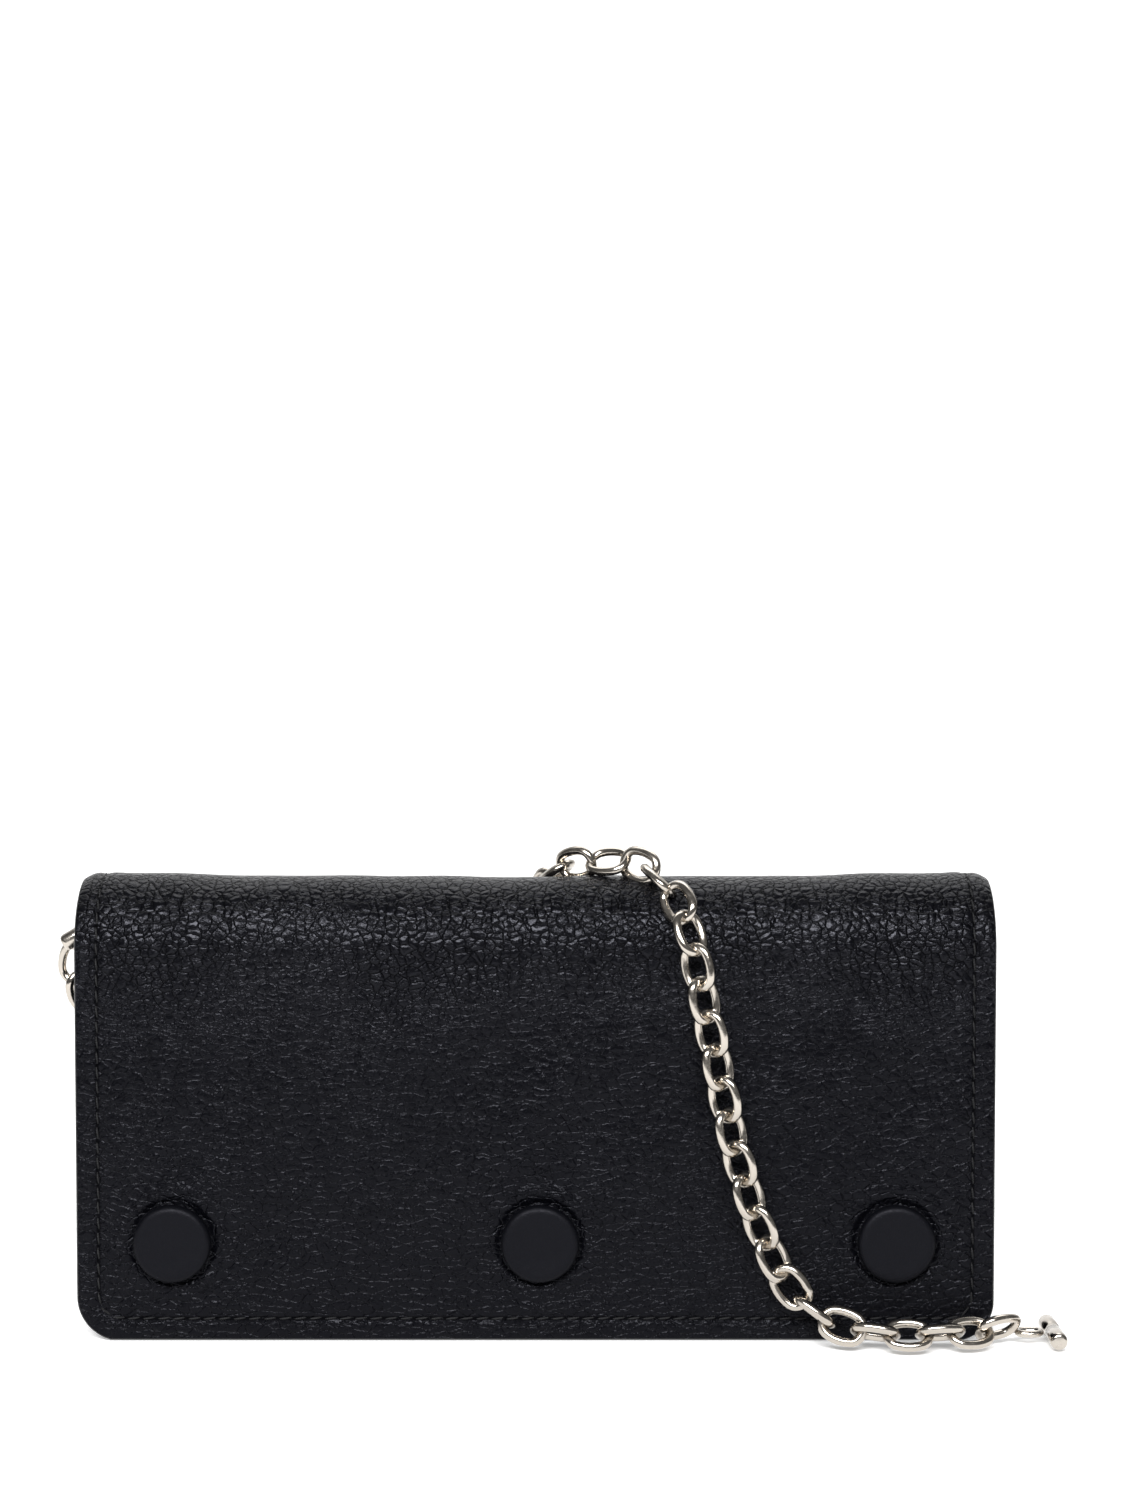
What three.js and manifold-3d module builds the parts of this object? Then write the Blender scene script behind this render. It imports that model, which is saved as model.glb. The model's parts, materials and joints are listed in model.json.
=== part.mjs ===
// Long flap wallet with a chain strap, in millimetres.
// +Z is up, +X runs along the wallet's width, -Y is the side the flap covers.
// The origin is the middle of the bottom, on the surface the wallet stands on.
import * as THREE from "three";
import { mergeVertices } from "three/addons/utils/BufferGeometryUtils.js";
import Module from "manifold-3d";

const wasm = await Module();
wasm.setup();

// ---------------------------------------------------------------- dimensions
const WIDTH = 200; // flap and back, side to side
const DEPTH = 30; // back face to flap face
const FOLD_Z = 85; // where the flat back and flap end and the fold begins
const FOLD_RISE = 15; // the fold's height above that: the wallet is 100 high
const LEATHER = 1.3; // outer leather
const LINING = 0.5;
const WALL = 0.6; // inner pocket walls
const GAP = 0.3; // clearance between neighbouring pieces
const CORNER_R = 9; // lower corners of the flap and the back

const FRONT_WALL_Y = -9.0; // outer face of the wall under the flap
const FRONT_WALL_T = 1.2;
const FRONT_WALL_TOP = 82;
const BODY_HALF = 96.5; // half width of the wall under the flap

const SNAP_X = [-79, 1, 78.5];
const SNAP_Z = 21.6;
const SNAP_CAP_R = 8.5;
const SNAP_CAP_H = 2.9;

const COIN_FRONT_Y = -1.8;
const COIN_BACK_Y = 4.2;
const COIN_HALF = 84;
const ZIP_Z = 76.4; // underside of the zip's tapes
const ZIP_HALF = 79; // half length of the toothed run
const ZIP_Y = 1.2;
const TOOTH_PITCH = 4;
const SLIDER_X = 73; // slider at the closed end

const SLOT_TOPS = [80, 70, 60, 50];
const SLOT_X = [2, 90];

const CHAIN_D = 8.2; // width of the oval links
const TOGGLE_R = 1.9;

const HALF = WIDTH / 2;
const BACK_Y = DEPTH / 2;
const FLAP_Y = -DEPTH / 2;

// ---------------------------------------------------------------- materials
const mat = (color, roughness, metalness = 0) =>
  new THREE.MeshStandardMaterial({ color, roughness, metalness });
const leather = mat(0x1e1e21, 0.55);
const smoothLeather = mat(0x202023, 0.45);
const lining = mat(0x1a1a1d, 0.8);
const tape = mat(0x141416, 0.9);
const nickel = mat(0xc9bfb2, 0.25, 1);
const chainMetal = mat(0xc4b9ab, 0.25, 1);

// ---------------------------------------------------------------- helpers
// Bare, closed, outward-facing triangles.
function closed(geometry) {
  let g = geometry.index ? geometry.toNonIndexed() : geometry.clone();
  const bare = new THREE.BufferGeometry();
  bare.setAttribute("position", g.getAttribute("position"));
  g = mergeVertices(bare, 1e-4);
  const p = g.attributes.position;
  const idx = Array.from(g.index.array);
  const keep = [];
  let six = 0;
  const a = new THREE.Vector3();
  const b = new THREE.Vector3();
  const c = new THREE.Vector3();
  for (let i = 0; i < idx.length; i += 3) {
    const [u, v, w] = [idx[i], idx[i + 1], idx[i + 2]];
    if (u === v || v === w || w === u) continue;
    a.fromBufferAttribute(p, u);
    b.fromBufferAttribute(p, v);
    c.fromBufferAttribute(p, w);
    six += a.dot(b.cross(c));
    keep.push(u, v, w);
  }
  if (six < 0)
    for (let i = 0; i < keep.length; i += 3)
      [keep[i + 1], keep[i + 2]] = [keep[i + 2], keep[i + 1]];
  g.setIndex(keep);
  g.computeVertexNormals();
  return g;
}

const solid = (g) =>
  new wasm.Manifold(
    new wasm.Mesh({
      numProp: 3,
      vertProperties: new Float32Array(g.attributes.position.array),
      triVerts: new Uint32Array(g.index.array),
    }),
  );

function joined(...parts) {
  const mesh = parts
    .map((g) => solid(closed(g)))
    .reduce((s, t) => s.add(t))
    .getMesh();
  const g = new THREE.BufferGeometry();
  g.setAttribute(
    "position",
    new THREE.BufferAttribute(new Float32Array(mesh.vertProperties), 3),
  );
  g.setIndex(Array.from(mesh.triVerts));
  return g;
}

const root = new THREE.Group();
root.name = "chain_wallet";

function add(group, name, geometry, material, position = [0, 0, 0]) {
  const m = new THREE.Mesh(closed(geometry), material);
  m.name = name;
  m.position.set(...position);
  group.add(m);
  return m;
}
function assembly(name) {
  const g = new THREE.Group();
  g.name = name;
  root.add(g);
  return g;
}

// Rectangle with its own radius at each corner: lower left, lower right, upper right, upper left.
function panelShape(x0, x1, z0, z1, r = [0, 0, 0, 0]) {
  const s = new THREE.Shape();
  const [a, b, c, d] = r;
  s.moveTo(x0 + a, z0);
  s.lineTo(x1 - b, z0);
  if (b) s.absarc(x1 - b, z0 + b, b, -Math.PI / 2, 0, false);
  s.lineTo(x1, z1 - c);
  if (c) s.absarc(x1 - c, z1 - c, c, 0, Math.PI / 2, false);
  s.lineTo(x0 + d, z1);
  if (d) s.absarc(x0 + d, z1 - d, d, Math.PI / 2, Math.PI, false);
  s.lineTo(x0, z0 + a);
  if (a) s.absarc(x0 + a, z0 + a, a, Math.PI, Math.PI * 1.5, false);
  return s;
}
function hole(shape, x, z, r) {
  const h = new THREE.Path();
  h.absarc(x, z, r, 0, Math.PI * 2, true);
  shape.holes.push(h);
}
// A shape drawn in x and z, with its thickness from y0 (towards the flap) to y1.
function upright(shape, y0, y1, curveSegments = 6) {
  const g = new THREE.ExtrudeGeometry(shape, {
    depth: y1 - y0,
    bevelEnabled: false,
    curveSegments,
  });
  g.rotateX(Math.PI / 2);
  g.translate(0, y1, 0);
  return g;
}
// A shape drawn in y and z, extruded along x from x0 to x1.
function along(shape, x0, x1, curveSegments = 6) {
  const g = new THREE.ExtrudeGeometry(shape, {
    depth: x1 - x0,
    bevelEnabled: false,
    curveSegments,
  });
  g.applyMatrix4(
    new THREE.Matrix4().makeBasis(
      new THREE.Vector3(0, 1, 0),
      new THREE.Vector3(0, 0, 1),
      new THREE.Vector3(1, 0, 0),
    ),
  );
  g.translate(x0, 0, 0);
  return g;
}
// A shape drawn in x and y, extruded up from z0 to z1.
function level(shape, z0, z1, curveSegments = 8) {
  const g = new THREE.ExtrudeGeometry(shape, {
    depth: z1 - z0,
    bevelEnabled: false,
    curveSegments,
  });
  g.translate(0, 0, z0);
  return g;
}
const poly = (pts) => new THREE.Shape(pts.map(([u, v]) => new THREE.Vector2(u, v)));
const box = (x0, x1, y0, y1, z0, z1) => {
  const g = new THREE.BoxGeometry(x1 - x0, y1 - y0, z1 - z0);
  g.translate((x0 + x1) / 2, (y0 + y1) / 2, (z0 + z1) / 2);
  return g;
};
// Turned about an axis parallel to y; the profile is given as [radius, y].
const turned = (profile, segments = 28) =>
  new THREE.LatheGeometry(
    profile.map(([r, y]) => new THREE.Vector2(r, y)),
    segments,
  );
// Round section swept along a smooth line through the points.
function cordTube(pts, steps, r = CHAIN_D / 2, sides = 8) {
  const section = new THREE.Shape(
    Array.from({ length: sides }, (_, i) => {
      const t = ((i + 0.5) / sides) * Math.PI * 2;
      return new THREE.Vector2(r * Math.cos(t), r * Math.sin(t));
    }),
  );
  return new THREE.ExtrudeGeometry(section, {
    steps,
    bevelEnabled: false,
    extrudePath: new THREE.CatmullRomCurve3(
      pts.map((p) => new THREE.Vector3(...p)),
      false,
      "centripetal",
    ),
  });
}

// ---------------------------------------------------------------- case: back, base, card slots, gussets, side loops
const caseGroup = assembly("case");

add(
  caseGroup,
  "back_panel",
  upright(
    panelShape(-HALF, HALF, 0, FOLD_Z - GAP / 2, [CORNER_R, CORNER_R, 0, 0]),
    BACK_Y - LEATHER,
    BACK_Y,
  ),
  leather,
);
add(
  caseGroup,
  "back_lining",
  upright(
    panelShape(-95.5, 95.5, 1.6, 84, [6, 6, 0, 0]),
    BACK_Y - LEATHER - GAP - LINING,
    BACK_Y - LEATHER - GAP,
  ),
  lining,
);
add(caseGroup, "base_panel", box(-94, 94, -9, 12.6, 0, 1.2), leather);

for (const [side, s] of [
  ["left", -1],
  ["right", 1],
])
  SLOT_TOPS.forEach((top, i) => {
    const y1 = 12.5 - 0.9 * i;
    const [x0, x1] = s < 0 ? [-SLOT_X[1], -SLOT_X[0]] : SLOT_X;
    add(
      caseGroup,
      `card_slot_${side}_${i + 1}`,
      upright(panelShape(x0, x1, 3, top, [0, 0, 2, 2]), y1 - 0.5, y1, 3),
      smoothLeather,
    );
  });

// Gusset: one fold inwards between the back and the wall under the flap.
const GUSSET_T = 0.7;
for (const [side, s] of [
  ["left", -1],
  ["right", 1],
]) {
  const line = [
    [95.5, -7.1],
    [86, 2.4],
    [95.5, 12.1],
  ];
  const t = GUSSET_T / 2;
  const shape = poly(
    [
      [line[0][0] + t * 1.4, line[0][1]],
      [line[1][0] + t * 1.42, line[1][1]],
      [line[2][0] + t * 1.4, line[2][1]],
      [line[2][0] - t * 1.4, line[2][1]],
      [line[1][0] - t * 1.42, line[1][1]],
      [line[0][0] - t * 1.4, line[0][1]],
    ].map(([x, y]) => [s * x, y]),
  );
  add(caseGroup, `gusset_${side}`, level(shape, 1.6, 80), smoothLeather);
}

// Side loop: a leather tongue in the gusset's fold that ends in an open loop for the chain's toggle.
for (const [side, s] of [
  ["left", -1],
  ["right", 1],
]) {
  const outline = panelShape(93.8, 101.6, 80.5, 92.5, [2, 2, 2.6, 2.6]);
  const inner = new THREE.Path();
  inner.moveTo(95.3, 84);
  inner.lineTo(95.3, 91);
  inner.lineTo(100.1, 91);
  inner.lineTo(100.1, 84);
  inner.closePath();
  outline.holes.push(inner);
  const loop = joined(
    upright(outline, -0.4, 5.4, 4),
    upright(panelShape(88, 97.4, 66, 82.6, [1.5, 1.5, 0, 0]), 1.7, 3.1, 3),
  );
  if (s < 0) loop.rotateZ(Math.PI).translate(0, 5, 0);
  add(caseGroup, `side_loop_${side}`, loop, smoothLeather);
}

// ---------------------------------------------------------------- fold: two quarter shells over the top
// Quarter of the fold between two nested ellipses, on the back (s = 1) or the flap side (s = -1).
function foldShell(s, outerA, outerB, t, cut) {
  const N = 10;
  const pts = [];
  const start = Math.asin(cut / outerB);
  const end = Math.acos(cut / outerA);
  for (let i = 0; i <= N; i++) {
    const f = start + ((end - start) * i) / N;
    pts.push([s * outerA * Math.cos(f), FOLD_Z + outerB * Math.sin(f)]);
  }
  const a = outerA - t;
  const b = outerB - t;
  const s2 = Math.asin(cut / b);
  const e2 = Math.acos(cut / a);
  for (let i = N; i >= 0; i--) {
    const f = s2 + ((e2 - s2) * i) / N;
    pts.push([s * a * Math.cos(f), FOLD_Z + b * Math.sin(f)]);
  }
  return poly(pts);
}
const foldBack = assembly("fold_back");
const foldFront = assembly("fold_front");
for (const [group, side, s] of [
  [foldBack, "back", 1],
  [foldFront, "front", -1],
]) {
  add(
    group,
    `fold_leather_${side}`,
    along(foldShell(s, DEPTH / 2, FOLD_RISE, LEATHER, GAP / 2), -HALF, HALF),
    leather,
  );
  const inset = LEATHER + GAP;
  add(
    group,
    `fold_lining_${side}`,
    along(
      foldShell(s, DEPTH / 2 - inset, FOLD_RISE - inset, LINING, GAP / 2),
      -96,
      96,
    ),
    lining,
  );
}

// ---------------------------------------------------------------- flap
const flap = assembly("flap");
const flapShape = panelShape(-HALF, HALF, 0, FOLD_Z - GAP / 2, [
  CORNER_R + 0.5,
  CORNER_R - 0.5,
  0,
  0,
]);
SNAP_X.forEach((x) => hole(flapShape, x, SNAP_Z, 2.1));
add(flap, "flap_panel", upright(flapShape, FLAP_Y, FLAP_Y + LEATHER), leather);
const flapLining = panelShape(-97.5, 97.5, 2, FOLD_Z - GAP / 2, [7, 7, 0, 0]);
SNAP_X.forEach((x) => hole(flapLining, x, SNAP_Z, 2.1));
add(
  flap,
  "flap_lining",
  upright(flapLining, FLAP_Y + LEATHER + GAP, FLAP_Y + LEATHER + GAP + LINING),
  lining,
);
const names = ["left", "centre", "right"];
SNAP_X.forEach((x, i) => {
  // Leather-covered cap with its post through the flap.
  const y = FLAP_Y - GAP;
  add(
    flap,
    `snap_cap_${names[i]}`,
    turned(
      [
        [0, y - SNAP_CAP_H],
        [5.2, y - SNAP_CAP_H + 0.12],
        [7.2, y - SNAP_CAP_H + 0.5],
        [8.2, y - SNAP_CAP_H + 1.2],
        [SNAP_CAP_R, y - 1.0],
        [SNAP_CAP_R - 0.5, y],
        [1.6, y],
        [1.6, -12.75],
        [0, -12.75],
      ],
      28,
    ),
    smoothLeather,
    [x, 0, SNAP_Z],
  );
  // Socket on the lining side, its cup open towards the stud.
  add(
    flap,
    `snap_socket_${names[i]}`,
    turned(
      [
        [0, -12.4],
        [5.2, -12.4],
        [5.6, -12.0],
        [5.6, -11.3],
        [4.2, -10.6],
        [2.7, -10.5],
        [2.6, -10.9],
        [2.6, -12.0],
        [0, -12.0],
      ],
      24,
    ),
    nickel,
    [x, 0, SNAP_Z],
  );
});

// ---------------------------------------------------------------- wall under the flap
const frontWall = assembly("front_wall");
const wallShape = panelShape(-BODY_HALF, BODY_HALF, 1.5, FRONT_WALL_TOP, [
  7, 7, 5, 5,
]);
SNAP_X.forEach((x) => hole(wallShape, x, SNAP_Z, 1.5));
add(
  frontWall,
  "front_panel",
  upright(wallShape, FRONT_WALL_Y, FRONT_WALL_Y + FRONT_WALL_T),
  leather,
);
add(
  frontWall,
  "front_panel_lining",
  upright(
    panelShape(-93, 93, 2.4, FRONT_WALL_TOP - 1, [6, 6, 4, 4]),
    FRONT_WALL_Y + FRONT_WALL_T + GAP,
    FRONT_WALL_Y + FRONT_WALL_T + GAP + LINING,
  ),
  lining,
);
SNAP_X.forEach((x, i) => {
  // Stud: flange on the leather, bulbed nub towards the socket, post through the wall.
  add(
    frontWall,
    `snap_stud_${names[i]}`,
    turned(
      [
        [0, -11.7],
        [1.3, -11.7],
        [1.75, -11.3],
        [1.75, -10.9],
        [1.35, -10.4],
        [1.5, -9.9],
        [4.6, -9.8],
        [4.9, -9.5],
        [4.9, -9.3],
        [1.1, -9.3],
        [1.1, -8.1],
        [0, -8.1],
      ],
      24,
    ),
    nickel,
    [x, 0, SNAP_Z],
  );
});

// ---------------------------------------------------------------- zipped coin pocket in the middle
const coin = assembly("coin_pocket");
add(
  coin,
  "coin_panel_front",
  upright(
    panelShape(-COIN_HALF, COIN_HALF, 3.4, ZIP_Z - GAP, [0, 0, 2, 2]),
    COIN_FRONT_Y,
    COIN_FRONT_Y + WALL,
    3,
  ),
  smoothLeather,
);
add(
  coin,
  "coin_panel_back",
  upright(
    panelShape(-COIN_HALF, COIN_HALF, 3.4, ZIP_Z - GAP, [0, 0, 2, 2]),
    COIN_BACK_Y - WALL,
    COIN_BACK_Y,
    3,
  ),
  smoothLeather,
);
add(
  coin,
  "coin_base",
  box(-COIN_HALF, COIN_HALF, COIN_FRONT_Y, COIN_BACK_Y, 2.5, 3.1),
  lining,
);
add(
  coin,
  "zip_tape_front",
  box(-COIN_HALF, COIN_HALF, COIN_FRONT_Y, -0.5, ZIP_Z, ZIP_Z + 0.6),
  tape,
);
add(
  coin,
  "zip_tape_back",
  box(-COIN_HALF, COIN_HALF, 2.9, COIN_BACK_Y, ZIP_Z, ZIP_Z + 0.6),
  tape,
);
// Toothed strips: the teeth of one stand in the gaps of the other.
function comb(s) {
  const pts = [];
  const base = s < 0 ? -0.2 : 2.6;
  const root0 = s < 0 ? 0.4 : 2.0;
  const tip = s < 0 ? 1.6 : 0.8;
  const shift = s < 0 ? 0 : TOOTH_PITCH / 2;
  pts.push([-ZIP_HALF, base], [-ZIP_HALF, root0]);
  for (let x = -ZIP_HALF + 0.6 + shift; x + 1.3 < ZIP_HALF; x += TOOTH_PITCH)
    pts.push([x, root0], [x + 0.1, tip], [x + 1.2, tip], [x + 1.3, root0]);
  pts.push([ZIP_HALF, root0], [ZIP_HALF, base]);
  return poly(pts);
}
add(coin, "zip_teeth_front", level(comb(-1), ZIP_Z, ZIP_Z + 1.6), nickel);
add(coin, "zip_teeth_back", level(comb(1), ZIP_Z, ZIP_Z + 1.6), nickel);
add(
  coin,
  "zip_stop_left",
  box(-81.3, -79.3, -0.2, 2.6, ZIP_Z, ZIP_Z + 2),
  nickel,
);
add(
  coin,
  "zip_stop_right",
  box(79.3, 81.3, -0.2, 2.6, ZIP_Z, ZIP_Z + 2),
  nickel,
);

const zipSlider = assembly("zip_slider");
const SLIDER_TOP = ZIP_Z + 3.2;
const saddle = poly([
  [-1.2, ZIP_Z + 0.95],
  [-0.6, ZIP_Z + 0.95],
  [-0.6, ZIP_Z + 2.2],
  [3.0, ZIP_Z + 2.2],
  [3.0, ZIP_Z + 0.95],
  [3.6, ZIP_Z + 0.95],
  [3.6, ZIP_Z + 2.8],
  [3.2, SLIDER_TOP],
  [-0.8, SLIDER_TOP],
  [-1.2, ZIP_Z + 2.8],
]);
const bail = poly([
  [SLIDER_X - 3, SLIDER_TOP - 0.3],
  [SLIDER_X - 2.1, SLIDER_TOP - 0.3],
  [SLIDER_X - 2.1, SLIDER_TOP + 2.1],
  [SLIDER_X + 2.1, SLIDER_TOP + 2.1],
  [SLIDER_X + 2.1, SLIDER_TOP - 0.3],
  [SLIDER_X + 3, SLIDER_TOP - 0.3],
  [SLIDER_X + 3, SLIDER_TOP + 2.4],
  [SLIDER_X + 2.4, SLIDER_TOP + 3],
  [SLIDER_X - 2.4, SLIDER_TOP + 3],
  [SLIDER_X - 3, SLIDER_TOP + 2.4],
]);
add(
  zipSlider,
  "zip_slider",
  joined(
    along(saddle, SLIDER_X - 4.5, SLIDER_X + 4.5),
    upright(bail, ZIP_Y - 0.8, ZIP_Y + 0.8),
  ),
  nickel,
);
const zipPull = assembly("zip_pull");
const pullShape = new THREE.Shape();
pullShape.moveTo(0.5, -2.4);
pullShape.lineTo(0.5, 2.4);
pullShape.lineTo(-4.5, 2.8);
pullShape.lineTo(-11.6, 2.8);
pullShape.absarc(-11.6, 0, 2.8, Math.PI / 2, Math.PI * 1.5, false);
pullShape.lineTo(-4.5, -2.8);
pullShape.closePath();
const pullHole = new THREE.Path();
pullHole.moveTo(-0.5, -1.5);
pullHole.lineTo(-4.4, -1.5);
pullHole.lineTo(-4.4, 1.5);
pullHole.lineTo(-0.5, 1.5);
pullHole.closePath();
pullShape.holes.push(pullHole);
add(
  zipPull,
  "zip_pull",
  level(pullShape, -0.5, 0.5, 6),
  nickel,
  [SLIDER_X, ZIP_Y, SLIDER_TOP + 1.1],
);

// ---------------------------------------------------------------- toggles: a bar on an oval link at each end of the chain
// Bar along its own y axis, ends rounded over.
function toggleBar(half) {
  const r = TOGGLE_R;
  return turned(
    [
      [0, -half],
      [r * 0.62, -half + 0.25],
      [r * 0.93, -half + 0.9],
      [r, -half + 1.6],
      [r, half - 1.6],
      [r * 0.93, half - 0.9],
      [r * 0.62, half - 0.25],
      [0, half],
    ],
    16,
  );
}
// Flat oval link of round-ended outline, lying in its own x and y plane.
function ovalLink(length, width, wire) {
  const r = width / 2;
  const l = length / 2 - r;
  const s = new THREE.Shape();
  s.moveTo(-l, -r);
  s.lineTo(l, -r);
  s.absarc(l, 0, r, -Math.PI / 2, Math.PI / 2, false);
  s.lineTo(-l, r);
  s.absarc(-l, 0, r, Math.PI / 2, Math.PI * 1.5, false);
  const h = new THREE.Path();
  const q = r - wire;
  h.moveTo(-l, -q);
  h.absarc(-l, 0, q, Math.PI * 1.5, Math.PI / 2, true);
  h.lineTo(l, q);
  h.absarc(l, 0, q, Math.PI / 2, -Math.PI / 2, true);
  h.lineTo(-l, -q);
  s.holes.push(h);
  return level(s, -wire / 2, wire / 2, 6);
}

const toggleLeft = assembly("toggle_left");
const barLeft = add(
  toggleLeft,
  "toggle_bar_left",
  toggleBar(7.4),
  nickel,
  [-97.9, -3.1, 89.2],
);
barLeft.quaternion.setFromUnitVectors(
  new THREE.Vector3(0, 1, 0),
  new THREE.Vector3(-0.862, -0.02, -0.507).normalize(),
);
const linkLeft = add(
  toggleLeft,
  "toggle_link_left",
  ovalLink(8.6, 4.6, 1.5),
  chainMetal,
  [-98, 3.6, 88.2],
);
linkLeft.quaternion.setFromAxisAngle(
  new THREE.Vector3(1, 1, 1).normalize(),
  (Math.PI * 2) / 3,
);

const toggleRight = assembly("toggle_right");
add(
  toggleRight,
  "toggle_bar_right",
  toggleBar(8.6),
  nickel,
  [112.6, -16.4, TOGGLE_R + 0.3],
);
add(
  toggleRight,
  "toggle_link_right",
  ovalLink(6.4, 4.6, 1.5),
  chainMetal,
  [107.3, -17.0, 2.3],
);

// ---------------------------------------------------------------- chain strap, about 1.1 m, as the envelope its links fill
const R = CHAIN_D / 2;
const strap = assembly("chain_strap");

// From the left side loop round the back's edge and down behind the wallet.
add(
  strap,
  "chain_drop",
  cordTube(
    [
      [-98.6, 9.0, 86.6],
      [-102.4, 10.2, 83.6],
      [-104.9, 12.2, 79.5],
      [-105.3, 15.2, 75],
      [-104, 18.6, 70.2],
      [-101.2, 20.4, 64],
      [-98.2, 20.8, 52],
      [-95.2, 21, 38],
      [-91.8, 21, 24],
      [-87.6, 21, 13.4],
      [-82.6, 21, 7.6],
      [-77.9, 21, 5.9],
    ],
    16,
  ),
  chainMetal,
);

// The length put away: wound flat and long behind the back, two turns high.
const HANK_Y = 33.5;
const HANK_R = 12.5; // bend at the middle of the end turns
const HANK_L = 62.5; // half length of the straight runs
const HANK_Z0 = 1.4;
const HANK_H = 2 * CHAIN_D;
function racetrack(radius, clockwise, target) {
  target.moveTo(-HANK_L, HANK_Y - radius * (clockwise ? -1 : 1));
  if (!clockwise) {
    target.lineTo(HANK_L, HANK_Y - radius);
    target.absarc(HANK_L, HANK_Y, radius, -Math.PI / 2, Math.PI / 2, false);
    target.lineTo(-HANK_L, HANK_Y + radius);
    target.absarc(-HANK_L, HANK_Y, radius, Math.PI / 2, Math.PI * 1.5, false);
  } else {
    target.lineTo(HANK_L, HANK_Y + radius);
    target.absarc(HANK_L, HANK_Y, radius, Math.PI / 2, -Math.PI / 2, true);
    target.lineTo(-HANK_L, HANK_Y - radius);
    target.absarc(-HANK_L, HANK_Y, radius, Math.PI * 1.5, Math.PI / 2, true);
  }
  return target;
}
const hankShape = racetrack(HANK_R + R, false, new THREE.Shape());
hankShape.holes.push(racetrack(HANK_R - R, true, new THREE.Path()));
add(strap, "chain_hank", level(hankShape, HANK_Z0, HANK_Z0 + HANK_H, 10), chainMetal);

// Leather tie round the middle of the hank.
const tieOut = HANK_R + R + 1.7;
const tieIn = HANK_R + R + 0.6;
const tieShape = panelShape(
  HANK_Y - tieOut,
  HANK_Y + tieOut,
  0,
  HANK_Z0 + HANK_H + 1.5,
  [1.5, 1.5, 3, 3],
);
const tieHole = new THREE.Path();
[
  [HANK_Y - tieIn, 1.1],
  [HANK_Y - tieIn, HANK_Z0 + HANK_H + 0.4],
  [HANK_Y + tieIn, HANK_Z0 + HANK_H + 0.4],
  [HANK_Y + tieIn, 1.1],
].forEach(([y, z], i) => (i ? tieHole.lineTo(y, z) : tieHole.moveTo(y, z)));
tieHole.closePath();
tieShape.holes.push(tieHole);
add(strap, "hank_tie", along(tieShape, -4, 4, 4), smoothLeather);

// Up the back from the hank.
add(
  strap,
  "chain_rise",
  cordTube(
    [
      [-60, 21.4, 22.4],
      [-50, 21, 22.8],
      [-39, 20.4, 27.5],
      [-29, 20, 37],
      [-20, 19.9, 49.5],
      [-11, 19.9, 63],
      [-3.4, 19.9, 75.5],
      [0.8, 19.9, 84.6],
    ],
    10,
  ),
  chainMetal,
);
// Over the fold.
add(
  strap,
  "chain_over",
  cordTube(
    [
      [1.2, 19.9, 86.0],
      [2.2, 19.0, 91.6],
      [3.8, 15.3, 97.8],
      [5.9, 9.8, 102.3],
      [10.2, 4.8, 104.4],
      [16.2, 0.6, 104.8],
      [22.4, -4.0, 104.4],
      [27.0, -9.8, 102.2],
      [30.6, -15.2, 97.7],
      [33.0, -19.0, 91.3],
      [34.2, -20.0, 85.6],
    ],
    12,
  ),
  chainMetal,
);
// Down the flap, on to the surface and out to the right-hand toggle.
add(
  strap,
  "chain_front",
  cordTube(
    [
      [34.5, -20.0, 84.6],
      [36.3, -19.9, 75.1],
      [37.9, -19.8, 67.8],
      [39.5, -19.8, 60.5],
      [40.8, -19.8, 53.2],
      [42.3, -19.8, 46.3],
      [44.1, -19.8, 39.7],
      [46.0, -19.8, 32.4],
      [48.5, -19.8, 25.7],
      [51.5, -19.9, 18.6],
      [55.2, -20.3, 12.6],
      [60.2, -21.2, 8.2],
      [66.2, -22.8, 5.4],
      [73.0, -24.6, 4.5],
      [80.0, -25.3, 4.4],
      [87.0, -24.6, 4.4],
      [93.6, -23.4, 4.4],
      [99.0, -20.9, 4.4],
      [103.1, -18.4, 4.4],
    ],
    22,
  ),
  chainMetal,
);

export default root;
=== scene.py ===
import json
import math

import bmesh
import bpy
import numpy as np
from mathutils import Matrix, Quaternion, Vector


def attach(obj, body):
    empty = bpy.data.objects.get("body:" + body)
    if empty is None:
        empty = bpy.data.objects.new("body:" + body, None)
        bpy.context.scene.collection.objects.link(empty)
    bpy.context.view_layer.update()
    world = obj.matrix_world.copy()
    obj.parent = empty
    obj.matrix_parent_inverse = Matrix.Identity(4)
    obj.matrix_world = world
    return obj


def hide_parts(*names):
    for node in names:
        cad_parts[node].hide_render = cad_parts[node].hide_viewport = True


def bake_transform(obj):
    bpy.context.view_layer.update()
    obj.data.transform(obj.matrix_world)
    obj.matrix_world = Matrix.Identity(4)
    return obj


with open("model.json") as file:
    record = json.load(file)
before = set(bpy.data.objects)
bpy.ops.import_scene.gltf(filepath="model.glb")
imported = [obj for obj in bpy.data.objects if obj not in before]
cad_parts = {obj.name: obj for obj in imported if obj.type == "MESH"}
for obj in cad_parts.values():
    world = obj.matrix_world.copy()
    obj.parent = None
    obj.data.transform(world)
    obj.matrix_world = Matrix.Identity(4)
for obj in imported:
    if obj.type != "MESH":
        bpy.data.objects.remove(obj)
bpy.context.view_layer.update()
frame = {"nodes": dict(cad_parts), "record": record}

MM = 0.001
scene = bpy.context.scene
scene.view_settings.view_transform = "Standard"
scene.view_settings.look = "None"

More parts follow.
